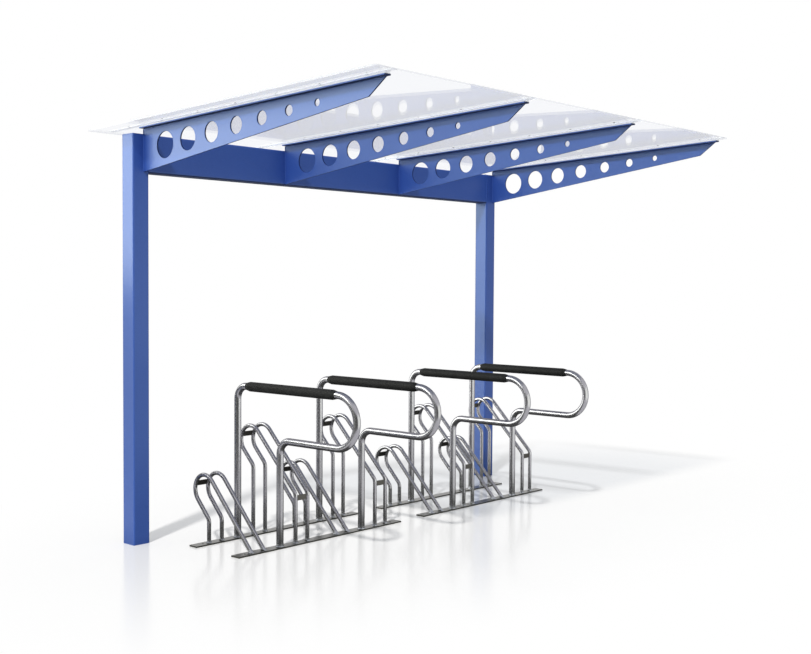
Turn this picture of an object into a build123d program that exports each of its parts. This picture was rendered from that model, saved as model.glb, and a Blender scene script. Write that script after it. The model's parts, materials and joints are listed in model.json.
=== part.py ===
from build123d import *
import os
from math import asin, atan2, cos, hypot, radians, sin, tan

# Cantilever bike shelter: two square posts, a box beam between their heads and four
# tapered arms that carry a clear, slightly rising roof. A two-module bike rack with
# rubber-sleeved hoops stands under the roof.
# Millimetres. The origin is the centre of the left post's foot, +X runs along the beam
# to the right post, the arms and the rack reach out towards -Y, and +Z is up.

# Posts and beam
post_spacing = 3000.0
post_height = 2165.0
post_width = 100.0
post_wall = 4.0
post_corner_radius = 8.0
foot_plate_thickness = 10.0
cap_thickness = 4.0
beam_depth = 200.0
beam_wall = 5.0
beam_corner_radius = 10.0

# Roof arms: a tapered web plate with a flat bar along its upper edge
arm_count = 4
arm_reach = 1726.0
arm_root_depth = 223.0
arm_tip_depth = 71.0
arm_cut_back = 102.0
arm_rise_over_post = 26.0
roof_slope = 2.7
web_thickness = 8.0
arm_offset = 5.0
flange_width = 40.0
flange_thickness = 6.0
flange_root_gap = 5.0
flange_tip_overhang = 22.0

# Lightening holes in each web, shrinking towards the tip
hole_count = 7
hole_first = 184.0
hole_pitch = 187.0
hole_first_diameter = 139.0
hole_last_diameter = 34.0

# Roof glazing: seal strip, clear sheet and clamp strip, one above the other
sheet_depth = 2100.0
sheet_thickness = 8.0
sheet_back_overhang = 291.0
sheet_left_overhang = 135.0
sheet_right_overhang = 25.0
sheet_joint_gap = 4.0
sheet_corner_radius = 20.0
strip_width = 36.0
seal_thickness = 4.0
clamp_thickness = 4.0
strip_end_margin = 20.0

# Rack modules: two flat rails each
module_count = 2
module_gap = 203.0
rack_start = 142.0
rail_width = 60.0
rail_thickness = 8.0
rear_rail_y = -300.0
front_rail_y = -641.0
rail_bolt_margin = 65.0
rail_bolt_diameter = 13.0

# Stations along a rack module: low holder, hoop, high holder, and the same again
station_margin = 150.0
holder_pitch = 307.5
holders_per_module = 4

# Leaning hoops
hoop_tube_diameter = 38.0
hoop_bend_radius = 72.0
hoop_top_z = 833.0
hoop_lower_z = 565.5
hoop_nose_y = -1066.0
sleeve_wall = 7.0
sleeve_clearance = 0.2
sleeve_end_margin = 10.0
sleeve_taper = 24.0
sleeve_end_wall = 1.5

# Wheel holders: two parallel hairpins joined by small spacer plates
hairpin_tube_diameter = 22.0
hairpin_spacing = 86.0
hairpin_bend_radius = 45.0
hairpin_loop_radius = 81.0
low_loop_y = -264.0
low_loop_z = 284.0
high_loop_y = -279.0
high_loop_z = 522.0
high_lean_z = 271.0
spacer_height = 28.0
spacer_thickness = 6.0
loop_spacer_angle = 20.0
kink_spacer_drop = 24.0

# Worked out from the sizes above
post_front = -post_width / 2
arm_pitch = post_spacing / (arm_count - 1)
arm_root_top = post_height + arm_rise_over_post
slope_tan = tan(radians(roof_slope))
slope_cos = cos(radians(roof_slope))
module_length = 2 * station_margin + (holders_per_module - 1) * holder_pitch
module_pitch = module_length + module_gap

# The upper edges of all webs lie in this plane; its local Y points down to the rear
roof_plane = Plane(
    origin=(0, post_front, arm_root_top),
    x_dir=(1, 0, 0),
    z_dir=(0, sin(radians(roof_slope)), slope_cos),
)


def save(builder, name):
    """Label a finished piece and write its STEP file."""
    builder.part.label = name
    export_step(builder.part, f"parts/{name}.step")


def post(x, name):
    """Square hollow post with its foot plate welded in, flush with the foot."""
    tube_height = post_height - cap_thickness
    with BuildPart() as piece:
        with BuildSketch(Plane((x, 0, 0))):
            RectangleRounded(post_width, post_width, post_corner_radius)
        extrude(amount=tube_height)
        with BuildSketch(Plane((x, 0, foot_plate_thickness))):
            inner = post_width - 2 * post_wall
            RectangleRounded(inner, inner, post_corner_radius - post_wall)
        extrude(amount=tube_height - foot_plate_thickness, mode=Mode.SUBTRACT)
    save(piece, name)


def post_cap(x, name):
    """Flat plate that closes the head of a post."""
    with BuildPart() as piece:
        with BuildSketch(Plane((x, 0, post_height - cap_thickness))):
            RectangleRounded(post_width, post_width, post_corner_radius)
        extrude(amount=cap_thickness)
    save(piece, name)


def rear_beam():
    """Box beam between the posts, level with their heads and flush with their faces."""
    start = Plane(
        origin=(post_width / 2, 0, post_height - beam_depth / 2),
        x_dir=(0, 1, 0),
        z_dir=(1, 0, 0),
    )
    length = post_spacing - post_width
    with BuildPart() as piece:
        with BuildSketch(start):
            RectangleRounded(post_width, beam_depth, beam_corner_radius)
            RectangleRounded(
                post_width - 2 * beam_wall,
                beam_depth - 2 * beam_wall,
                beam_corner_radius - beam_wall,
                mode=Mode.SUBTRACT,
            )
        extrude(amount=length)
    save(piece, "rear_beam")


def arm_middle(index):
    """X of an arm's middle; the arms stand a little to the right of the posts' middles."""
    return index * arm_pitch + arm_offset


def web_edges_at(distance):
    """Heights of the web's upper and lower edge at a distance out from the post."""
    upper = arm_root_top + distance * slope_tan
    cut = arm_reach - arm_cut_back
    lower_root = arm_root_top - arm_root_depth
    lower_cut = arm_root_top + cut * slope_tan - arm_tip_depth
    lower = lower_root + (lower_cut - lower_root) * distance / cut
    return upper, lower


def arm_web(index, name):
    """Tapered plate on edge, with a slanted tip and a row of shrinking round holes."""
    left_face = arm_middle(index) + flange_width / 2 - web_thickness
    cut = arm_reach - arm_cut_back
    root_upper, root_lower = web_edges_at(0)
    tip_upper = web_edges_at(arm_reach)[0]
    cut_lower = web_edges_at(cut)[1]
    diameter_step = (hole_first_diameter - hole_last_diameter) / (hole_count - 1)
    with BuildPart() as piece:
        with BuildSketch(Plane.YZ.offset(left_face)):
            with BuildLine():
                Polyline(
                    (post_front, root_lower),
                    (post_front, root_upper),
                    (post_front - arm_reach, tip_upper),
                    (post_front - cut, cut_lower),
                    close=True,
                )
            make_face()
            for hole in range(hole_count):
                distance = hole_first + hole * hole_pitch
                upper, lower = web_edges_at(distance)
                diameter = hole_first_diameter - hole * diameter_step
                with Locations((post_front - distance, (upper + lower) / 2)):
                    Circle(diameter / 2, mode=Mode.SUBTRACT)
        extrude(amount=web_thickness)
    save(piece, name)


def roof_bar(x_centre, width, start, end, height, thickness, name):
    """Flat bar in the roof's slope, from start to end along it, height above the webs."""
    with BuildPart() as piece:
        with BuildSketch(roof_plane.offset(height)):
            with Locations((x_centre, -(start + end) / 2)):
                Rectangle(width, end - start)
        extrude(amount=thickness)
    save(piece, name)


def arm_flange(index, name):
    """Flat bar on the web's upper edge, flush with the web's right face."""
    end = arm_reach / slope_cos + flange_tip_overhang
    roof_bar(
        arm_middle(index), flange_width, flange_root_gap, end,
        0, flange_thickness, name,
    )


def roof_strips(index):
    """Seal strip under the sheets and clamp strip over them, along one arm."""
    sheet_front = sheet_depth - sheet_back_overhang
    flange_end = arm_reach / slope_cos + flange_tip_overhang
    roof_bar(
        arm_middle(index), strip_width, flange_root_gap, flange_end,
        flange_thickness, seal_thickness, f"seal_strip_{index + 1}",
    )
    roof_bar(
        arm_middle(index), strip_width, -sheet_back_overhang + strip_end_margin,
        sheet_front - strip_end_margin,
        flange_thickness + seal_thickness + sheet_thickness, clamp_thickness,
        f"clamp_strip_{index + 1}",
    )


def roof_sheet(index, name):
    """Clear sheet over one bay; neighbours meet over an arm with a small joint."""
    bays = arm_count - 1
    left = arm_middle(index) + sheet_joint_gap / 2
    right = arm_middle(index + 1) - sheet_joint_gap / 2
    if index == 0:
        left = -sheet_left_overhang
    if index == bays - 1:
        right = post_spacing + sheet_right_overhang
    middle = sheet_back_overhang - sheet_depth / 2
    with BuildPart() as piece:
        with BuildSketch(roof_plane.offset(flange_thickness + seal_thickness)) as outline:
            with Locations(((left + right) / 2, middle)):
                Rectangle(right - left, sheet_depth)
            if index == 0:
                fillet(outline.vertices().group_by(Axis.X)[0], sheet_corner_radius)
            if index == bays - 1:
                fillet(outline.vertices().group_by(Axis.X)[-1], sheet_corner_radius)
        extrude(amount=sheet_thickness)
    save(piece, name)


def rail(module, y, name):
    """Flat bar on the ground with a bolt hole near each end."""
    start = rack_start + module * module_pitch
    middle = start + module_length / 2
    with BuildPart() as piece:
        with BuildSketch():
            with Locations((middle, y)):
                Rectangle(module_length, rail_width)
                with GridLocations(module_length - 2 * rail_bolt_margin, 0, 2, 1):
                    Circle(rail_bolt_diameter / 2, mode=Mode.SUBTRACT)
        extrude(amount=rail_thickness)
    save(piece, name)


def station_x(station):
    """X of a holder station, counted in holder pitches through both modules."""
    module = int(station // holders_per_module)
    step = station - module * holders_per_module
    return rack_start + module * module_pitch + station_margin + step * holder_pitch


def hoop(x, name):
    """Bent tube: up from the rear rail, forward, round the nose and back down."""
    nose_radius = (hoop_top_z - hoop_lower_z) / 2
    nose_z = (hoop_top_z + hoop_lower_z) / 2
    with BuildPart() as piece:
        with BuildLine(Plane.YZ.offset(x)) as path:
            FilletPolyline(
                (rear_rail_y, rail_thickness),
                (rear_rail_y, hoop_top_z),
                (hoop_nose_y, hoop_top_z),
                radius=hoop_bend_radius,
            )
            ThreePointArc(
                (hoop_nose_y, hoop_top_z),
                (hoop_nose_y - nose_radius, nose_z),
                (hoop_nose_y, hoop_lower_z),
            )
            FilletPolyline(
                (hoop_nose_y, hoop_lower_z),
                (front_rail_y, hoop_lower_z),
                (front_rail_y, rail_thickness),
                radius=hoop_bend_radius,
            )
        with BuildSketch(Plane((x, rear_rail_y, rail_thickness))):
            Circle(hoop_tube_diameter / 2)
        sweep(path=path.line)
    save(piece, name)


def sleeve(x, name):
    """Rubber sleeve with tapered ends on the straight upper run of a hoop."""
    back = rear_rail_y - hoop_bend_radius - sleeve_end_margin
    front = hoop_nose_y + sleeve_end_margin
    tube = hoop_top_z + hoop_tube_diameter / 2
    bore = tube + sleeve_clearance
    outer = tube + sleeve_wall
    end = bore + sleeve_end_wall
    with BuildPart() as piece:
        with BuildSketch(Plane.YZ.offset(x)):
            with BuildLine():
                Polyline(
                    (back, bore),
                    (back, end),
                    (back - sleeve_taper, outer),
                    (front + sleeve_taper, outer),
                    (front, end),
                    (front, bore),
                    close=True,
                )
            make_face()
        revolve(axis=Axis((x, 0, hoop_top_z), (0, 1, 0)))
    save(piece, name)


def wheel_holder(x, loop_y, loop_z, lean_z, name):
    """Two hairpin tubes side by side. Each rises from the front rail, leans back to a loop
    and comes down parallel to a kink over the rear rail. lean_z is the height at which the
    front leg starts to lean; on the low holder that is its foot, which is cut level with
    the rail's top. Spacer plates across the gap, at the loop and on an upright front leg,
    are fused into both tubes."""
    run = loop_y - front_rail_y
    rise = loop_z - lean_z
    angle = atan2(rise, run) + asin(hairpin_loop_radius / hypot(run, rise))
    along = (cos(angle), sin(angle))
    across = (-hairpin_loop_radius * along[1], hairpin_loop_radius * along[0])
    upper = (loop_y + across[0], loop_z + across[1])
    lower = (loop_y - across[0], loop_z - across[1])
    tip = (loop_y + hairpin_loop_radius * along[0], loop_z + hairpin_loop_radius * along[1])
    rear_kink_z = lower[1] - (lower[0] - rear_rail_y) * tan(angle)
    stop = radians(loop_spacer_angle)
    outward = (cos(stop), sin(stop))
    loop_point = (
        x,
        loop_y + hairpin_loop_radius * outward[0],
        loop_z + hairpin_loop_radius * outward[1],
    )
    spacers = [Plane(origin=loop_point, x_dir=(1, 0, 0), z_dir=(0, *outward))]
    run_out = hairpin_tube_diameter
    upright_front = lean_z > rail_thickness
    if upright_front:
        leg_point = (x, front_rail_y, lean_z - kink_spacer_drop)
        spacers.append(Plane(origin=leg_point, x_dir=(1, 0, 0), z_dir=(0, -1, 0)))
    with BuildPart() as piece:
        for side in (-1, 1):
            with BuildLine(Plane.YZ.offset(x + side * hairpin_spacing / 2)) as path:
                if upright_front:
                    FilletPolyline(
                        (front_rail_y, rail_thickness),
                        (front_rail_y, lean_z),
                        upper,
                        radius=hairpin_bend_radius,
                    )
                else:
                    below = (front_rail_y - run_out * along[0], lean_z - run_out * along[1])
                    Line(below, upper)
                ThreePointArc(upper, tip, lower)
                FilletPolyline(
                    lower,
                    (rear_rail_y, rear_kink_z),
                    (rear_rail_y, rail_thickness),
                    radius=hairpin_bend_radius,
                )
            with BuildSketch(Plane(origin=path.line @ 1, z_dir=(0, 0, 1))):
                Circle(hairpin_tube_diameter / 2)
            sweep(path=path.line)
        for spacer in spacers:
            with BuildSketch(spacer):
                Rectangle(hairpin_spacing, spacer_height)
            extrude(amount=spacer_thickness / 2, both=True)
        split(bisect_by=Plane.XY.offset(rail_thickness), keep=Keep.TOP)
    save(piece, name)


os.makedirs("parts", exist_ok=True)

for side, post_x in (("left", 0), ("right", post_spacing)):
    post(post_x, f"{side}_post")
    post_cap(post_x, f"{side}_post_cap")
rear_beam()

for arm in range(arm_count):
    arm_web(arm, f"arm_web_{arm + 1}")
    arm_flange(arm, f"arm_flange_{arm + 1}")
    roof_strips(arm)

for bay in range(arm_count - 1):
    roof_sheet(bay, f"roof_sheet_{bay + 1}")

for module in range(module_count):
    rail(module, front_rail_y, f"front_rail_{module + 1}")
    rail(module, rear_rail_y, f"rear_rail_{module + 1}")

for place in range(module_count * holders_per_module // 2):
    low_x = station_x(2 * place)
    number = place + 1
    wheel_holder(low_x, low_loop_y, low_loop_z, rail_thickness, f"low_holder_{number}")
    hoop(low_x + holder_pitch / 2, f"hoop_{number}")
    sleeve(low_x + holder_pitch / 2, f"sleeve_{number}")
    wheel_holder(
        low_x + holder_pitch, high_loop_y, high_loop_z, high_lean_z, f"high_holder_{number}"
    )
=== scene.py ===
# %% [markdown]
# # Dressing a cantilever bike shelter
#
# The shelter is two square posts with a box beam between their heads and four drilled arms that
# carry a clear roof. A rack of bent steel tube stands under it. Its solids come packed in a
# frame, in metres, with the centre of the left post's foot at the origin, +X along the beam,
# the open side towards -Y and +Z up. This lesson keeps those solids as they are, gives each
# one a finish, and adds what a welder and a fitter leave behind: beads of weld, and screws with
# their washers and rubber rings.

# %% Load the frame and measure it
import json
import random
from math import atan2, ceil, cos, pi, radians, sin, tan

import bmesh
import bpy
from mathutils import Matrix, Vector


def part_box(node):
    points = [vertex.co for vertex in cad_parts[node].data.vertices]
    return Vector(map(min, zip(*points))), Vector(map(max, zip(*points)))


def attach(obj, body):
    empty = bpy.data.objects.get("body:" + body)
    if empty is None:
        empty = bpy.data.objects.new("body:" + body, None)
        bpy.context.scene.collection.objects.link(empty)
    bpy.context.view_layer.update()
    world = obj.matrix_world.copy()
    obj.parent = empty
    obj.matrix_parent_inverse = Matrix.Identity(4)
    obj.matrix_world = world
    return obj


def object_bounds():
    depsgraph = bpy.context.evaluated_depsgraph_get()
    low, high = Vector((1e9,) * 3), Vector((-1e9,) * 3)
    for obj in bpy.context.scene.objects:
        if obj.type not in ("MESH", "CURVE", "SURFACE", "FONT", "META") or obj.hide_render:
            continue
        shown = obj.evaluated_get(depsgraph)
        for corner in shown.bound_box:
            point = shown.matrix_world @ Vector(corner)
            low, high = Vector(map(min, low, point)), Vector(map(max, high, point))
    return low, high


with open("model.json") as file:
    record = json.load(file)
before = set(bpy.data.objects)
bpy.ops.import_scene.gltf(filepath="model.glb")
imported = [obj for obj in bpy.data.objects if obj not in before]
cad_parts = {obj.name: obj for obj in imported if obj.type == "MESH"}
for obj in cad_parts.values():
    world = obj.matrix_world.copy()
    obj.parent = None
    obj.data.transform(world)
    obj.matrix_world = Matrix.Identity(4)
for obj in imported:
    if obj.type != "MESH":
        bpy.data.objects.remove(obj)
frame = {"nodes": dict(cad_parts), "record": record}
nodes = frame["nodes"]
cad_low, cad_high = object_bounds()
shelter_middle = (cad_low + cad_high) / 2
print("nodes:", len(nodes))
print("box of the solids:", [round(v, 3) for v in cad_low], [round(v, 3) for v in cad_high])

# %% [markdown]
# ## The camera
#
# A view is matched by the camera's place, its heading, its tilt and its lens. The values below
# were found by fitting a camera to points of the real shelter whose places are known, such as
# the corners of the posts and the centres of the holes in the arms. The heading is counted
# from +X towards +Y. A roll of a third of a degree remains, so the turn is built from three
# rotations rather than by aiming the camera at a point.

# %% Place the camera
view_place = Vector((-3.6226, -5.1413, 1.4012))
view_heading = radians(41.714)
view_tilt = radians(-2.25)
view_roll = radians(0.35)
view_lens_mm = 51.41
view_farthest = 200.0
sensor_width_mm = 36.0

camera = bpy.data.objects.new("camera", bpy.data.cameras.new("camera"))
bpy.context.scene.collection.objects.link(camera)
camera.data.sensor_width = sensor_width_mm
camera.data.lens = view_lens_mm
camera.data.clip_end = view_farthest
camera.matrix_world = (
    Matrix.Translation(view_place)
    @ Matrix.Rotation(view_heading - radians(90), 4, "Z")
    @ Matrix.Rotation(radians(90) + view_tilt, 4, "X")
    @ Matrix.Rotation(view_roll, 4, "Z")
)
bpy.context.scene.camera = camera
bpy.context.scene.view_settings.view_transform = "Standard"
print("camera at", [round(v, 3) for v in view_place], "lens", view_lens_mm, "mm")

# %% [markdown]
# ## Shader maths as expressions
#
# A finish is a small sum: a base value, plus some grain, times a mask. Wiring that by hand
# takes many lines that hide the sum. The class below wraps one output socket and overloads the
# operators, so that 0.3 + 0.1 * grain adds its own Math nodes. The reflected forms are there
# too, so that a plain number may stand first. A Math node turns a colour grey, so these sums
# are for plain values, and colours are blended by a Mix node.

# %% A socket that can be used in sums
class Signal:
    """One output socket of a node tree, usable in Python expressions on values."""

    def __init__(self, finish, socket):
        self.finish = finish
        self.socket = socket

    def __add__(self, other):
        return self.finish.maths("ADD", self, other)

    def __radd__(self, other):
        return self.finish.maths("ADD", other, self)

    def __sub__(self, other):
        return self.finish.maths("SUBTRACT", self, other)

    def __rsub__(self, other):
        return self.finish.maths("SUBTRACT", other, self)

    def __mul__(self, other):
        return self.finish.maths("MULTIPLY", self, other)

    def __rmul__(self, other):
        return self.finish.maths("MULTIPLY", other, self)

    def __truediv__(self, other):
        return self.finish.maths("DIVIDE", self, other)

    def __pow__(self, other):
        return self.finish.maths("POWER", self, other)

    def __abs__(self):
        return self.finish.maths("ABSOLUTE", self)


# %% [markdown]
# Every node comes from one method, node. It takes the node's type, then its settings, which
# have to be set before the sockets because they decide which sockets there are, and then the
# values or links of its sockets, by name or by number. The other methods are short names for
# the nodes that the finishes need again and again.

# %% A node tree that is written in expressions
bevel_samples = 4


class Finish:
    """The node tree of a material, or of the world."""

    def __init__(self, owner):
        owner.use_nodes = True
        self.owner = owner
        self.tree = owner.node_tree
        self.tree.nodes.clear()

    def node(self, kind, settings=None, sockets=None, output=0):
        """Adds a node with its settings and sockets, and gives one of its outputs."""
        made = self.tree.nodes.new(kind)
        for name, value in (settings or {}).items():
            setattr(made, name, value)
        for key, value in (sockets or {}).items():
            socket = made.inputs[key]
            if isinstance(value, Signal):
                self.tree.links.new(value.socket, socket)
            elif socket.type == "RGBA":
                socket.default_value = (*value, 1.0)
            else:
                socket.default_value = value
        return Signal(self, made.outputs[output]) if made.outputs else None

    def maths(self, operation, *values):
        """One Math node on one or two values."""
        return self.node("ShaderNodeMath", {"operation": operation}, dict(enumerate(values)))

    def place(self):
        """Where a point lies in the shelter's own frame, in metres."""
        return self.node("ShaderNodeTexCoord", output="Object")

    def stretched(self, vector, scale):
        """A vector scaled along each axis, to draw a grain out along one of them."""
        return self.node(
            "ShaderNodeVectorMath", {"operation": "MULTIPLY"}, {0: vector, 1: Vector(scale)}
        )

    def split(self, vector):
        """The x, y and z parts of a vector."""
        made = self.node("ShaderNodeSeparateXYZ", None, {0: vector}).socket.node
        return [Signal(self, out) for out in made.outputs]

    def facing(self):
        """The x, y and z parts of the direction in which a face looks."""
        return self.split(self.node("ShaderNodeNewGeometry", output="True Normal"))

    def looks_down(self):
        """1 on faces that look down, 0 on level ones and on those that look up."""
        first_down, fully_down = -0.3, -0.8
        return self.ramped(self.facing()[2], first_down, fully_down)

    def ray(self, kind):
        """1 for one kind of ray, such as Is Camera Ray, and 0 for every other."""
        return self.node("ShaderNodeLightPath", output=kind)

    def grain(self, vector, scale, detail=2.0, roughness=0.5):
        """Noise from 0 to 1; scale counts its features to the metre."""
        return self.node(
            "ShaderNodeTexNoise",
            {"noise_dimensions": "3D"},
            {"Vector": vector, "Scale": scale, "Detail": detail, "Roughness": roughness},
        )

    def ramped(self, value, low, high, start=0.0, end=1.0):
        """A smooth step of value between low and high, from start to end."""
        return self.node(
            "ShaderNodeMapRange",
            {"interpolation_type": "SMOOTHSTEP", "clamp": True},
            {"Value": value, "From Min": low, "From Max": high, "To Min": start, "To Max": end},
        )

    def mix(self, share, first, second):
        """Blends two colours: first where share is 0, second where it is 1."""
        colour_share, colour_first, colour_second, colour_result = 0, 6, 7, 2
        return self.node(
            "ShaderNodeMix",
            {"data_type": "RGBA"},
            {colour_share: share, colour_first: first, colour_second: second},
            colour_result,
        )

    def rounded(self, radius):
        """The normal of edges that look rounded to a radius, in metres."""
        return self.node("ShaderNodeBevel", {"samples": bevel_samples}, {"Radius": radius})

    def bump(self, height, distance, strength, base=None):
        """A normal tilted by a height field; distance is the height of 1, in metres."""
        sockets = {"Height": height, "Distance": distance, "Strength": strength}
        if base is not None:
            sockets["Normal"] = base
        return self.node("ShaderNodeBump", None, sockets)

    def principled(self, sockets):
        """The standard shader, with its sockets by name."""
        return self.node("ShaderNodeBsdfPrincipled", None, sockets)

    def glow(self, colour, strength):
        """A shader that gives off light of one colour."""
        return self.node("ShaderNodeEmission", None, {"Color": colour, "Strength": strength})

    def clear(self, colour):
        """A shader that lets rays through and multiplies them by a colour."""
        return self.node("ShaderNodeBsdfTransparent", None, {"Color": colour})

    def blend(self, share, first, second):
        """Blends two shaders: first where share is 0, second where it is 1."""
        return self.node("ShaderNodeMixShader", None, {0: share, 1: first, 2: second})

    def surface(self, shader):
        """Makes a shader the tree's result, and gives the material or the world."""
        is_world = isinstance(self.owner, bpy.types.World)
        kind = "ShaderNodeOutputWorld" if is_world else "ShaderNodeOutputMaterial"
        self.node(kind, None, {"Surface": shader})
        return self.owner


# %% [markdown]
# A finish starts as an empty material and ends as one that is kept under its slot's name. The
# number of its nodes shows how much wiring a few lines of sums stand for.

# %% Starting and keeping a finish
finishes = {}


def finish_for(name):
    """A new, empty material with its expression tree."""
    return Finish(bpy.data.materials.new(name))


def keep_finish(slot, material):
    """Keeps the finished material for a slot."""
    finishes[slot] = material
    print(slot, "has", len(material.node_tree.nodes), "nodes")


# %% [markdown]
# ## The white background
#
# The shelter stands on a plain pale floor. A floor that is only lit never comes out as even
# white to its far edge, so what the camera sees is a blend: the lit floor, which keeps the soft
# shadow, and a white glow of strength 1, which takes over away from the shelter. Mirrors and
# clear sheets see the same blend, because glossy and transmission rays are added to camera
# rays. All other rays see the lit floor alone.

# %% Rays that see the white background
full_white = (1.0, 1.0, 1.0)
no_light = (0.0, 0.0, 0.0)


def seen_share(finish):
    """1 for rays from the camera, off gloss or through clear things, and 0 for light itself."""
    seen = (finish.ray("Is Camera Ray") + finish.ray("Is Glossy Ray")
            + finish.ray("Is Transmission Ray"))
    return finish.maths("MINIMUM", seen, 1.0)


# %% [markdown]
# The blend depends on how far a point lies from the middle of the shelter and its shadow,
# measured on an oval. Inside the oval a little of the glow stays, which lifts the floor to the
# pale grey of a studio floor. Light that bounces off the floor finds it darker than the camera
# does: a floor of full white would throw so much light up that the undersides of the arms and
# the shaded sides of the posts would come out far too pale.

# %% Floor
floor_reach = 60.0
floor_colour = (0.845, 0.825, 0.793)
floor_bounce = (0.32, 0.32, 0.32)
floor_roughness = 0.16
floor_gloss = 0.30
floor_glow_near = 0.12
floor_glow_far = 1.0
floor_centre = Vector((2.0, -0.50, 0.0))
floor_half_wide = 3.15
floor_half_deep = 1.65
floor_fade_start = 0.6
floor_fade_end = 1.3


def floor_finish():
    finish = finish_for("studio_floor")
    x, y, _ = finish.split(finish.place())
    wide = (x - floor_centre.x) / floor_half_wide
    deep = (y - floor_centre.y) / floor_half_deep
    away = (wide ** 2.0 + deep ** 2.0) ** 0.5
    glow_share = finish.ramped(
        away, floor_fade_start, floor_fade_end, floor_glow_near, floor_glow_far)
    lit = finish.principled({
        "Base Color": finish.mix(finish.ray("Is Diffuse Ray"), floor_colour, floor_bounce),
        "Roughness": floor_roughness, "Specular IOR Level": floor_gloss})
    glow = finish.glow(full_white, 1.0)
    return finish.surface(finish.blend(glow_share * seen_share(finish), lit, glow))


floor_mesh = bpy.data.meshes.new("floor")
floor_mesh.from_pydata(
    [(x * floor_reach, y * floor_reach, 0.0) for x, y in ((-1, -1), (1, -1), (1, 1), (-1, 1))],
    [], [(0, 1, 2, 3)],
)
floor_mesh.materials.append(floor_finish())
floor = bpy.data.objects.new("floor", floor_mesh)
bpy.context.scene.collection.objects.link(floor)
print("floor glow near the shelter:", floor_glow_near)

# %% [markdown]
# ## Light
#
# One soft sun from the left, a little in front, casts the shadows of the posts and arms to the
# right. Its height comes from those shadows: a point 1 m up throws its own about 0.85 m to the
# right. The sun's image is kept out of all reflections, where it would stand as a hard white
# dot on every tube.

# %% Sun
sun_from = Vector((-0.62, -0.29, 0.73))
sun_distance = 8.0
sun_strength = 0.95 * pi
sun_spread = radians(4.0)

sun = bpy.data.objects.new("sun", bpy.data.lights.new("sun", "SUN"))
bpy.context.scene.collection.objects.link(sun)
sun.data.energy = sun_strength
sun.data.angle = sun_spread
sun.location = shelter_middle + sun_from * sun_distance
sun.rotation_mode = "QUATERNION"
sun.rotation_quaternion = (shelter_middle - sun.location).to_track_quat("-Z", "Y")
sun.visible_glossy = False
print("a point 1 m up throws its shadow", round(-sun_from.x / sun_from.z, 2), "m to the right")

# %% [markdown]
# A pale, slightly blue sky fills the shade. What sees the floor's white glow sees white in
# place of this sky too, so the horizon doesn't show.

# %% World
sky_colour = (0.88, 0.93, 1.0)
sky_strength = 0.55

world = bpy.data.worlds.new("studio")
bpy.context.scene.world = world
air = Finish(world)
sky, backdrop = (
    air.node("ShaderNodeBackground", None, {"Color": colour, "Strength": strength})
    for colour, strength in ((sky_colour, sky_strength), (full_white, 1.0))
)
air.surface(air.blend(seen_share(air), sky, backdrop))
print("sky", sky_strength)

# %% [markdown]
# ## Cards for the reflections
#
# Polished tube and gloss paint show only what stands round them. In an all-white room a tube
# looks like white plastic, so a photographer sets up cards: black ones, whose reflections draw
# the dark edges of a tube, and bright ones, whose reflections run along it as a white line.
# Each card here is seen by reflections alone. It is hidden from the camera and casts no light
# or shadow, and its back is clear, so that the floor doesn't mirror it. The cards are a little
# yellow-green, because the sheen in blue paint would turn lilac otherwise.

# %% One card
card_steps = 24
card_tint = (0.97, 1.0, 0.90)


def card_finish(name, strength):
    finish = finish_for(name)
    back = finish.node("ShaderNodeNewGeometry", output="Backfacing")
    return finish.surface(
        finish.blend(back, finish.glow(card_tint, strength), finish.clear(full_white)))


def set_card(name, points, faces, strength):
    """A card of any shape, bright on the side from which its faces run anticlockwise."""
    mesh = bpy.data.meshes.new(name)
    mesh.from_pydata(points, [], faces)
    mesh.materials.append(card_finish(name, strength))
    made = bpy.data.objects.new(name, mesh)
    bpy.context.scene.collection.objects.link(made)
    for ray in ("camera", "diffuse", "transmission", "shadow"):
        setattr(made, "visible_" + ray, False)


def round_card(name, centre, radius, start, end, top, strength):
    """A card that stands on the ground in an arc round a centre and faces it.

    The arc runs between two headings in degrees.
    """
    headings = [radians(start + (end - start) * i / card_steps) for i in range(card_steps + 1)]
    points = [
        (centre.x + radius * cos(a), centre.y + radius * sin(a), z)
        for a in headings for z in (0.0, top)
    ]
    faces = [(2 * i, 2 * i + 1, 2 * i + 3, 2 * i + 2) for i in range(card_steps)]
    set_card(name, points, faces, strength)


# %% [markdown]
# Two bright cards stand far off, behind on the left. The webs and the left faces of the posts
# mirror them as a sheen that fades downwards. The nearer card is narrower and brighter, for the
# webs and the right post; the left post mirrors the wider one beside it. Close to the rack, a
# dark card on the left and a bright one in front on the right draw the dark and the white line
# along each tube. A dark card flat on the ground is for the undersides of the tubes.

# %% Cards
rack_middle = Vector((1.47, -0.60, 0.0))
ground_card_low = Vector((-0.2, -1.15))
ground_card_high = Vector((3.4, 0.5))
ground_card_z = 0.0015
ground_card_strength = 0.12

# The columns are the name, centre, radius, first and last heading, top and strength.
for card in (
    ("far_bright_card", shelter_middle, 9.0, 105.0, 165.0, 6.5, 5.3),
    ("far_window_card", shelter_middle, 8.8, 131.0, 165.0, 6.5, 8.6),
    ("near_dark_card", rack_middle, 2.7, 124.0, 236.0, 1.4, 0.16),
    ("near_bright_card", rack_middle, 2.7, 242.0, 318.0, 1.6, 1.9),
):
    round_card(*card)
set_card("ground_grey_card", [
    (ground_card_low.x, ground_card_low.y, ground_card_z),
    (ground_card_high.x, ground_card_low.y, ground_card_z),
    (ground_card_high.x, ground_card_high.y, ground_card_z),
    (ground_card_low.x, ground_card_high.y, ground_card_z),
], [(0, 1, 2, 3)], ground_card_strength)

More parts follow.
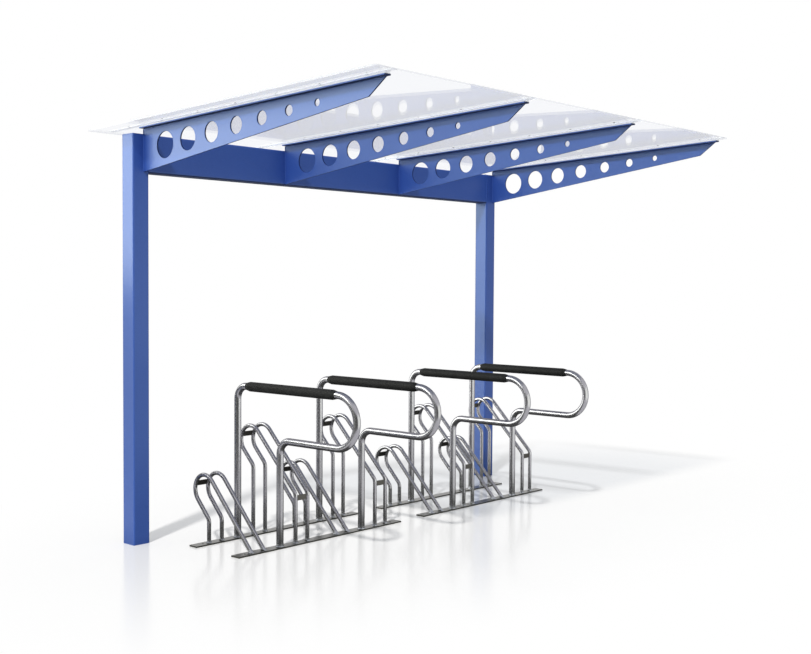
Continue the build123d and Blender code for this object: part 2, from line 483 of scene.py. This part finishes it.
# %% [markdown]
# ## Blue powder coat
#
# Powder coat is baked plastic. It flows out into a very fine orange peel, so it is glossy but
# never sharp, and each grain takes the light a little differently, which shows as a faint
# speckle. The colour is a strong medium blue. A Bevel node rounds the plate edges in
# the shading only, as the thick coat does on the real steel.
#
# Three masks vary it, and all three are painted shade. The rims of the arms and of their holes
# are painted almost black and made matt. They are the faces of the arms that don't look
# sideways, and the arms are what lies in front of the beam. The undersides take the same painted
# shade. In nooks, such as the corner under a flat bar, the coat is painted a deeper blue as
# shade;
# an Ambient Occlusion node finds the nooks.
# Specular Tint turns the sheen a little towards cyan.

# %% Coat
coat_deep = (0.030, 0.077, 0.318)
coat_full = (0.052, 0.124, 0.448)
# The next colour is painted shade for the rims and undersides, the one after it painted shade for
# the nooks.
coat_painted_shade = (0.006, 0.014, 0.070)
coat_shaded = (0.008, 0.038, 0.250)
coat_sheen = (0.80, 0.93, 1.0)
coat_roughness = 0.34
coat_gloss = 0.4
peel_scale, peel_height = 700.0, 0.0005
speckle_scale = 210.0
cloud_scale = 1.7
nook_reach = 0.05
nook_samples = 6
coat_edge_radius = 0.0012
sideways_full, sideways_none = 0.6, 0.3
beam_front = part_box("rear_beam")[0].y
arm_mask_start = beam_front - 0.002
arm_mask_full = beam_front - 0.006


def blue_coat():
    finish = finish_for("blue_coat")
    place = finish.place()
    speckle = finish.grain(place, speckle_scale, detail=1.0)
    cloud = finish.grain(place, cloud_scale, detail=3.0)
    peel = finish.grain(place, peel_scale, detail=1.5)
    on_arm = finish.ramped(finish.split(place)[1], arm_mask_start, arm_mask_full)
    # Where shade is painted almost black: the rims of the arms, and the faces that look down.
    arm_rims = finish.ramped(abs(finish.facing()[0]), sideways_full, sideways_none) * on_arm
    shade_on_rims_and_undersides = finish.maths("MAXIMUM", arm_rims, finish.looks_down())
    # Painted shade in the nooks that Ambient Occlusion finds: the less open a point, the deeper
    # its blue.
    open_share = finish.node(
        "ShaderNodeAmbientOcclusion", {"samples": nook_samples}, {"Distance": nook_reach}, "AO")
    nook_shade = 0.5 * (1.0 - open_share)
    colour = finish.mix(0.15 + 0.45 * speckle + 0.35 * cloud, coat_deep, coat_full)
    # Here the painted shade goes into the colour: deeper blue in nooks, then almost black on rims
    # and undersides.
    colour = finish.mix(nook_shade, colour, coat_shaded)
    colour = finish.mix(0.9 * shade_on_rims_and_undersides, colour, coat_painted_shade)
    normal = finish.bump(0.6 * peel + 0.4 * speckle, peel_height, strength=0.25,
                         base=finish.rounded(coat_edge_radius))
    return finish.surface(finish.principled({
        "Base Color": colour,
        "Roughness": coat_roughness + 0.10 * speckle + 0.5 * shade_on_rims_and_undersides + 0.3 * nook_shade,
        "Specular IOR Level": coat_gloss, "Specular Tint": coat_sheen, "Normal": normal}))


print("the arms begin in front of y =", round(beam_front, 3))
keep_finish("blue_coat", blue_coat())

# %% [markdown]
# ## Steel tube
#
# The hoops and wheel holders are stainless tube, ground and polished after bending. The spacer
# plates between the two tubes of a wheel holder are left dull. They are part of the same solid,
# so they are told apart by place: the distance to the middle of the nearest holder. A Ping-Pong
# node finds it for a whole row of evenly spaced holders at once. The second module of the rack
# stands a little further off, so its gap is taken out first.

# %% Where the spacer plates lie
hoop_radius = 0.019
hairpin_radius = 0.011
plate_fade = 0.001


def middle_x(name):
    """How far along X the middle of a node lies."""
    low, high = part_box(name)
    return (low.x + high.x) / 2


holder_low, holder_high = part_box("low_holder_1")
slot_half = (holder_high.x - holder_low.x) / 2 - 2 * hairpin_radius
holder_first = middle_x("low_holder_1")
holder_pitch = middle_x("high_holder_1") - holder_first
module_step = middle_x("low_holder_3") - holder_first
module_gap = (middle_x("high_holder_2") + middle_x("low_holder_3")) / 2


def between_tubes(finish, x):
    """1 on the plates between the two tubes of a wheel holder, 0 on the tubes."""
    second = finish.maths("GREATER_THAN", x, module_gap)
    along = x - holder_first - second * module_step
    off_middle = finish.maths("PINGPONG", along, holder_pitch / 2)
    return finish.ramped(off_middle, slot_half, slot_half - plate_fade)


print("holders every", round(holder_pitch, 4), "m, slot", round(2 * slot_half, 4), "m wide")

# %% [markdown]
# The polished tube is bright, with a light haze from the belt, whose fine lines run round it,
# and a faint blue-grey tint where a weld has heated it, close to the floor rails. Specular Tint
# darkens what the tube mirrors at a glancing angle, so that its two rims stand out against a
# white background.

# %% Tube
rail_low, rail_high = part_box("front_rail_1")
rail_top = rail_high.z
tube_dark = (0.34, 0.334, 0.365)
tube_light = (0.42, 0.412, 0.446)
tube_edge = (0.20, 0.196, 0.21)
tube_tint = (0.50, 0.52, 0.58)
plate_dull = (0.105, 0.100, 0.094)
tube_roughness = 0.20
haze_scale = 26.0
belt_stretch, belt_height = (900.0, 120.0, 120.0), 0.00004
tint_start = rail_top + 0.022
tint_full = rail_top + 0.004


def tube_steel():
    finish = finish_for("tube_steel")
    place = finish.place()
    x, _, z = finish.split(place)
    haze = finish.grain(place, haze_scale, detail=4.0, roughness=0.6)
    belt = finish.grain(finish.stretched(place, belt_stretch), 1.0)
    heated = finish.ramped(z, tint_start, tint_full)
    plate = between_tubes(finish, x)
    colour = finish.mix(0.8 * haze + 0.2 * belt, tube_dark, tube_light)
    colour = finish.mix(heated * (0.35 + 0.5 * haze), colour, tube_tint)
    colour = finish.mix(plate, colour, plate_dull)
    return finish.surface(finish.principled({
        "Base Color": colour, "Metallic": 1.0, "Specular Tint": tube_edge,
        "Roughness": tube_roughness + 0.06 * haze + 0.03 * belt + 0.15 * (heated + plate),
        "Normal": finish.bump(belt, belt_height, strength=0.1)}))


keep_finish("tube_steel", tube_steel())

# %% [markdown]
# ## Flat bar
#
# The floor rails are flat bar straight from the mill: duller than the tube, browner and drawn
# along their length, with a patchy scale on top.

# %% Rail
rail_dark = (0.095, 0.092, 0.086)
rail_light = (0.165, 0.160, 0.151)
rail_roughness = 0.22
streak_stretch, streak_height = (6.0, 420.0, 420.0), 0.0002
scale_patches = 34.0
rail_edge_radius = 0.0010


def rail_steel():
    finish = finish_for("rail_steel")
    place = finish.place()
    streak = finish.grain(finish.stretched(place, streak_stretch), 1.0, detail=3.0, roughness=0.6)
    scale = finish.grain(place, scale_patches, detail=4.0, roughness=0.65)
    normal = finish.bump(0.7 * streak + 0.3 * scale, streak_height, strength=0.35,
                         base=finish.rounded(rail_edge_radius))
    return finish.surface(finish.principled({
        "Base Color": finish.mix(0.5 * streak + 0.5 * scale, rail_dark, rail_light),
        "Metallic": 1.0, "Roughness": rail_roughness + 0.16 * scale, "Normal": normal}))


keep_finish("rail_steel", rail_steel())

# %% [markdown]
# ## Rubber
#
# The sleeves are black foam rubber: almost no shine, a close skin grain, a trace of grey bloom.
# The rings under the screws' washers wear the same finish.

# %% Rubber
rubber_black = (0.005, 0.005, 0.0052)
rubber_bloom = (0.011, 0.011, 0.0115)
rubber_roughness = 0.55
rubber_gloss = 0.16
skin_scale, skin_height = 520.0, 0.0006
bloom_scale = 17.0
bloom_first, bloom_full = 0.35, 0.8


def black_rubber():
    finish = finish_for("black_rubber")
    place = finish.place()
    skin = finish.grain(place, skin_scale, roughness=0.7)
    bloom = finish.grain(place, bloom_scale, detail=4.0, roughness=0.6)
    bloomed = finish.ramped(bloom, bloom_first, bloom_full)
    return finish.surface(finish.principled({
        "Base Color": finish.mix(bloomed, rubber_black, rubber_bloom),
        "Roughness": rubber_roughness + 0.2 * bloom, "Specular IOR Level": rubber_gloss,
        "Normal": finish.bump(skin, skin_height, strength=0.35)}))


keep_finish("black_rubber", black_rubber())

# %% [markdown]
# ## Seal
#
# The strips between the flat bars and the sheets are white, soft and a little dusty.

# %% Seal
seal_white = (0.86, 0.86, 0.87)
seal_shade = (0.74, 0.75, 0.77)
seal_roughness = 0.52
dust_scale = 60.0
pores_scale, pores_height = 300.0, 0.0003


def white_seal():
    finish = finish_for("white_seal")
    place = finish.place()
    dust = finish.grain(place, dust_scale, detail=4.0, roughness=0.6)
    pores = finish.grain(place, pores_scale)
    return finish.surface(finish.principled({
        "Base Color": finish.mix(0.6 * dust, seal_white, seal_shade),
        "Roughness": seal_roughness + 0.15 * dust,
        "Normal": finish.bump(pores, pores_height, strength=0.2)}))


keep_finish("white_seal", white_seal())

# %% [markdown]
# ## Clamp strip
#
# The clamp strips over the sheets are pale anodised aluminium, drawn along their length. From
# below, a strip is seen through the clear sheet that it lies on, and sky light caught in the
# sheet keeps it pale. A little glow on its underside stands for that light.

# %% Clamp
clamp_pale = (0.86, 0.86, 0.87)
clamp_grey = (0.72, 0.72, 0.74)
clamp_roughness = 0.30
clamp_glow = 0.5
drawn_stretch, drawn_height = (700.0, 9.0, 700.0), 0.0001


def clamp_aluminium():
    finish = finish_for("clamp_aluminium")
    along = finish.stretched(finish.place(), drawn_stretch)
    drawn = finish.grain(along, 1.0, detail=3.0, roughness=0.6)
    return finish.surface(finish.principled({
        "Base Color": finish.mix(drawn, clamp_pale, clamp_grey),
        "Emission Color": finish.mix(finish.looks_down(), no_light, clamp_pale),
        "Emission Strength": clamp_glow,
        "Roughness": clamp_roughness + 0.16 * drawn,
        "Normal": finish.bump(drawn, drawn_height, strength=0.3)}))


keep_finish("clamp_aluminium", clamp_aluminium())

# %% [markdown]
# ## Clear roof sheet
#
# Seen from below, almost along the sheet, its gloss mirrors the arms and their holes as a pale
# lavender band, and elsewhere the sheet all but vanishes. A Mix Shader says exactly that: a
# Fresnel node shares the light between a mirror and a Transparent shader, so that lamps pass
# and the arms still cast their shadows. Only part of that share is mirrored, more from below
# than from above, or the white room would turn the sheet into a white board.
#
# Three Transparent shaders take turns behind the mirror. The camera looks through the clear one.
# Light goes through a slightly darker one, so the roof casts a faint shade. A reflection that
# rises through the sheet meets a dim one, so that a glossy face under the roof mirrors a ceiling
# instead of the open white. The sawn edges are matt and paler: their faces are the ones that
# look neither up nor down.

# %% Sheet
sheet_gloss_index = 1.50
sheet_gloss_below = 0.25
sheet_gloss_above = 0.045
sheet_gloss_colour = (0.97, 0.97, 1.0)
sheet_pass = (0.975, 0.977, 0.984)
sheet_shade = (0.91, 0.93, 0.96)
sheet_dim = (0.66, 0.69, 0.74)
sheet_edge = (0.93, 0.94, 0.97)
sheet_edge_share = 0.28
sheet_edge_roughness = 0.45
smear_stretch = (3.0, 11.0, 3.0)
turning_over = 0.2
edge_first, edge_full = 0.5, 0.2


def clear_sheet():
    finish = finish_for("clear_sheet")
    along = finish.stretched(finish.place(), smear_stretch)
    smear = finish.grain(along, 1.0, detail=4.0, roughness=0.6)
    up = finish.facing()[2]
    rising = finish.ray("Is Glossy Ray") * finish.ramped(up, turning_over, -turning_over)
    unseen = finish.blend(rising, finish.clear(sheet_shade), finish.clear(sheet_dim))
    through = finish.blend(finish.ray("Is Camera Ray"), unseen, finish.clear(sheet_pass))
    gloss = finish.principled({
        "Base Color": sheet_gloss_colour, "Metallic": 1.0, "Roughness": 0.01 + 0.02 * smear})
    fresnel = finish.node("ShaderNodeFresnel", None, {"IOR": sheet_gloss_index})
    mirrored = fresnel * finish.ramped(
        up, -turning_over, turning_over, sheet_gloss_below, sheet_gloss_above)
    pane = finish.blend(mirrored, through, gloss)
    sawn = finish.principled({"Base Color": sheet_edge, "Roughness": sheet_edge_roughness})
    on_edge = sheet_edge_share * finish.ramped(abs(up), edge_first, edge_full)
    return finish.surface(finish.blend(on_edge, pane, sawn))


keep_finish("clear_sheet", clear_sheet())

# %% [markdown]
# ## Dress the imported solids
#
# The record lists each node with the slot its finish comes from.

# %% Finishes by slot
slot_of = {part["node"]: part["material_slot"] for part in frame["record"]["subparts"]}
for name, node in nodes.items():
    node.data.materials.clear()
    node.data.materials.append(finishes[slot_of[name]])
print("dressed:", {slot: list(slot_of.values()).count(slot) for slot in finishes})

# %% [markdown]
# ## Weld beads
#
# A weld is a row of frozen ripples. One function lays a bead along any list of points: a round
# section, half sunk in the corner that it fills, whose radius swells and falls once per ripple
# and tapers off at a free end. The section is carried along by the path's direction and one
# fixed side vector, which is enough for straight runs and for rings that lie flat.

# %% One bead
bead_sides = 8
bead_step = 0.0015
bead_trough = 0.86
bead_ripple_rise = 0.14
bead_free_end = 0.35
along_x, along_y, along_z = Vector((1, 0, 0)), Vector((0, 1, 0)), Vector((0, 0, 1))


def lay_bead(shape, path, side, radius, ripple, closed=False):
    """Adds a rippled bead along the path to a bmesh; side is never along the path."""
    count = len(path)
    travelled = 0.0
    rings = []
    for i, point in enumerate(path):
        before = path[i - 1] if i or closed else point
        after = path[(i + 1) % count] if i < count - 1 or closed else point
        along = (after - before).normalized()
        across = side.cross(along).normalized()
        lift = along.cross(across)
        if i:
            travelled += (point - path[i - 1]).length
        swell = bead_trough + bead_ripple_rise * abs(sin(pi * travelled / ripple))
        if not closed and i in (0, count - 1):
            swell = bead_free_end
        size = radius * swell
        rings.append([
            shape.verts.new(point + size * (cos(a) * across + sin(a) * lift))
            for a in (2 * pi * k / bead_sides for k in range(bead_sides))
        ])
    spans = count if closed else count - 1
    for i in range(spans):
        first, second = rings[i], rings[(i + 1) % count]
        for k in range(bead_sides):
            after = (k + 1) % bead_sides
            shape.faces.new((first[k], first[after], second[after], second[k]))
    if not closed:
        shape.faces.new(reversed(rings[0]))
        shape.faces.new(rings[-1])


# %% [markdown]
# Two helpers go with it. One divides a straight run into short steps, fine enough for the
# ripples. The other turns a finished mesh into a piece of the shelter: it rides on the
# shelter's one body and wears the finish of a slot.

# %% Runs and pieces
def line_points(start, end):
    """Points from start to end, about one bead step apart."""
    count = max(2, ceil((end - start).length / bead_step))
    return [start.lerp(end, i / count) for i in range(count + 1)]


def add_piece(name, shape, slot, smooth=True):
    """Turns a bmesh into a piece that rides on the shelter and takes a slot's finish."""
    bmesh.ops.recalc_face_normals(shape, faces=shape.faces)
    mesh = bpy.data.meshes.new(name)
    shape.to_mesh(mesh)
    shape.free()
    mesh.materials.append(finishes[slot])
    for polygon in mesh.polygons:
        polygon.use_smooth = smooth
    piece = bpy.data.objects.new(name, mesh)
    bpy.context.scene.collection.objects.link(piece)
    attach(piece, "root")
    print(name, "faces:", len(mesh.polygons))


# %% [markdown]
# ## Where the arms are welded
#
# Each web stands on edge against the post or beam and is welded down both sides. Its upper edge
# is joined to the flat bar by short stitches, left and right in turn, because a full bead would
# pull a long thin bar out of straight. All of it is under the coat, so it takes the coat.

# %% Arm welds
arm_bead = 0.0035
arm_ripple = 0.0045
stitch_bead = arm_bead * 0.8
stitch_length = 0.040
stitch_pitch = 0.200
left_stitch_start = stitch_pitch * 0.35
right_stitch_start = stitch_pitch * 0.85
roof_slope = radians(2.7)
outward = Vector((0.0, -cos(roof_slope), sin(roof_slope)))
arm_names = [name for name in sorted(nodes) if name.startswith("arm_web_")]

arm_welds = bmesh.new()
for name in arm_names:
    low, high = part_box(name)
    depth = high.y - low.y
    root_top = high.z - depth * tan(roof_slope)
    for face, start in ((low.x, left_stitch_start), (high.x, right_stitch_start)):
        foot, head = Vector((face, high.y, low.z)), Vector((face, high.y, root_top))
        lay_bead(arm_welds, line_points(foot, head), along_x, arm_bead, arm_ripple)
        while start + stitch_length < depth / cos(roof_slope):
            first = head + outward * start
            stitch = line_points(first, first + outward * stitch_length)
            lay_bead(arm_welds, stitch, along_x, stitch_bead, arm_ripple)
            start += stitch_pitch
add_piece("arm_welds", arm_welds, "blue_coat")

# %% [markdown]
# ## Where the frame is welded
#
# The beam's ends are welded to the posts all round, and each cap is welded to its post and
# ground nearly flush, so only a fine line is left of it. The cap's line is pulled in by its own
# radius, so that it stays within the post's width.

# %% Frame welds
frame_bead = 0.0030
cap_bead = 0.0012
beam_corner = 0.010
post_corner = 0.008
corner_steps = 4


def rounded_loop(centre, first, second, half_first, half_second, corner):
    """Points round a rectangle with round corners, in the plane of two unit vectors."""
    points = []
    for turn, (a, b) in enumerate(((1, 1), (-1, 1), (-1, -1), (1, -1))):
        middle = (centre + first * a * (half_first - corner)
                  + second * b * (half_second - corner))
        for k in range(corner_steps + 1):
            angle = pi / 2 * (turn + k / corner_steps)
            points.append(middle + corner * (cos(angle) * first + sin(angle) * second))
    ring = []
    for i, point in enumerate(points):
        ring += line_points(point, points[(i + 1) % len(points)])[:-1]
    return ring


frame_welds = bmesh.new()
beam_low, beam_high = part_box("rear_beam")
beam_middle = (beam_low + beam_high) / 2
for end_x in (beam_low.x, beam_high.x):
    loop = rounded_loop(
        Vector((end_x, beam_middle.y, beam_middle.z)), along_y, along_z,
        (beam_high.y - beam_low.y) / 2, (beam_high.z - beam_low.z) / 2, beam_corner)
    lay_bead(frame_welds, loop, along_x, frame_bead, arm_ripple, closed=True)
for name in ("left_post_cap", "right_post_cap"):
    low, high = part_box(name)
    middle = (low + high) / 2
    loop = rounded_loop(
        Vector((middle.x, middle.y, low.z)), along_x, along_y,
        (high.x - low.x) / 2 - cap_bead, (high.y - low.y) / 2 - cap_bead, post_corner)
    lay_bead(frame_welds, loop, along_z, cap_bead, arm_ripple, closed=True)
add_piece("frame_welds", frame_welds, "blue_coat")

# %% [markdown]
# ## Where the rack is welded
#
# Every tube stands on a rail with a ring of weld round its foot. The front feet of the low
# holders meet the rail at a slant, so their rings are ellipses. The slant follows from the loop
# at the holder's head: the front tube is the line from the rail that touches this circle. The
# front tubes of the high holders are upright at the foot, so their rings are round.

# %% Rack welds
foot_bead = 0.0045
foot_ripple = 0.0040
holder_loop_radius = 0.081
front_rail_y = (rail_low.y + rail_high.y) / 2
rear_low, rear_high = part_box("rear_rail_1")
rear_rail_y = (rear_low.y + rear_high.y) / 2


def foot_ring(shape, x, y, radius, stretch=1.0):
    """A ring of weld round a tube's foot on a rail, stretched from front to back."""
    steps = ceil(2 * pi * radius * stretch / bead_step)
    loop = [
        Vector((x + radius * cos(a), y + radius * stretch * sin(a), rail_top))
        for a in (2 * pi * i / steps for i in range(steps))
    ]
    lay_bead(shape, loop, along_z, foot_bead, foot_ripple, closed=True)


def slant_stretch(high):
    """How much longer than wide a low holder's slanting front tube is cut by the rail."""
    run = high.y - holder_loop_radius - hairpin_radius - front_rail_y
    rise = high.z - holder_loop_radius - hairpin_radius - rail_top
    touching = (run ** 2 + rise ** 2 - holder_loop_radius ** 2) ** 0.5
    return 1 / sin(atan2(rise, run) + atan2(holder_loop_radius, touching))


rack_welds = bmesh.new()
for name in sorted(nodes):
    low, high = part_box(name)
    if name.startswith("hoop_"):
        for y in (front_rail_y, rear_rail_y):
            foot_ring(rack_welds, middle_x(name), y, hoop_radius)
    elif "_holder_" in name:
        stretch = slant_stretch(high) if name.startswith("low_") else 1.0
        for x in (low.x + hairpin_radius, high.x - hairpin_radius):
            foot_ring(rack_welds, x, front_rail_y, hairpin_radius, stretch)
            foot_ring(rack_welds, x, rear_rail_y, hairpin_radius)
add_piece("rack_welds", rack_welds, "tube_steel")

# %% [markdown]
# ## Screws of the clamp strips
#
# The clamp strips are screwed down through the sheets into the flat bars, so each strip has a
# row of hexagon-head screws, each on a washer with a rubber ring under it. Ring, washer and
# head are each a short stack of outlines, from a list of radii and heights. They are set along
# the strips and tilted to the slope of the roof. Every head is turned by a different angle, as
# a driver leaves it.

# %% One screw
washer_radius = 0.0095
washer_height = 0.0012
ring_height = 0.0012
ring_end_radius = washer_radius * 0.92
ring_sunk = 0.0002
washer_rim_radius = washer_radius * 0.93
head_radius = 0.0055
head_height = 0.0042
head_chamfer = 0.0008
round_sides = 24
head_sides = 6

washer_top = ring_height + washer_height
washer_side_top = washer_top * 0.9
ring_profile = [
    (ring_end_radius, -ring_sunk),
    (washer_radius, ring_height / 2),
    (ring_end_radius, ring_height),
]
washer_profile = [
    (washer_radius, ring_height),
    (washer_radius, washer_side_top),
    (washer_rim_radius, washer_top),
]
head_profile = [
    (head_radius, washer_top),
    (head_radius, washer_top + head_height - head_chamfer),
    (head_radius - head_chamfer, washer_top + head_height),
]


def stack(shape, matrix, profile, sides, turn=0.0):
    """A closed round or many-sided solid from (radius, height) pairs, bottom to top."""
    loops = [
        [shape.verts.new(matrix @ Vector((r * cos(a), r * sin(a), z)))
         for a in (turn + 2 * pi * k / sides for k in range(sides))]
        for r, z in profile
    ]
    for lower, upper in zip(loops, loops[1:]):
        for k in range(sides):
            after = (k + 1) % sides
            shape.faces.new((lower[k], lower[after], upper[after], upper[k]))
    shape.faces.new(reversed(loops[0]))
    shape.faces.new(loops[-1])


print("a screw stands", round(1000 * (washer_top + head_height), 1), "mm above its strip")

# %% [markdown]
# The first and last screw keep clear of the strip's ends, and the others stand evenly between
# them. The random turns come from one numbered source, so they are the same in every run.

# %% Rows of screws
screws_per_strip = 7
screw_end_margin = 0.16
turn_source = 7

chance = random.Random(turn_source)
screws = bmesh.new()
rubber_rings = bmesh.new()
for index in range(1, len(arm_names) + 1):
    name = f"clamp_strip_{index}"
    low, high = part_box(name)
    length = high.y - low.y
    for k in range(screws_per_strip):
        share = k / (screws_per_strip - 1)
        y = low.y + screw_end_margin + share * (length - 2 * screw_end_margin)
        top = high.z - (y - low.y) * tan(roof_slope)
        seat = (Matrix.Translation((middle_x(name), y, top))
                @ Matrix.Rotation(-roof_slope, 4, "X"))
        stack(rubber_rings, seat, ring_profile, round_sides)
        stack(screws, seat, washer_profile, round_sides)
        stack(screws, seat, head_profile, head_sides, chance.uniform(0, 2 * pi / head_sides))
add_piece("clamp_screws", screws, "tube_steel", smooth=False)
add_piece("screw_rings", rubber_rings, "black_rubber", smooth=False)
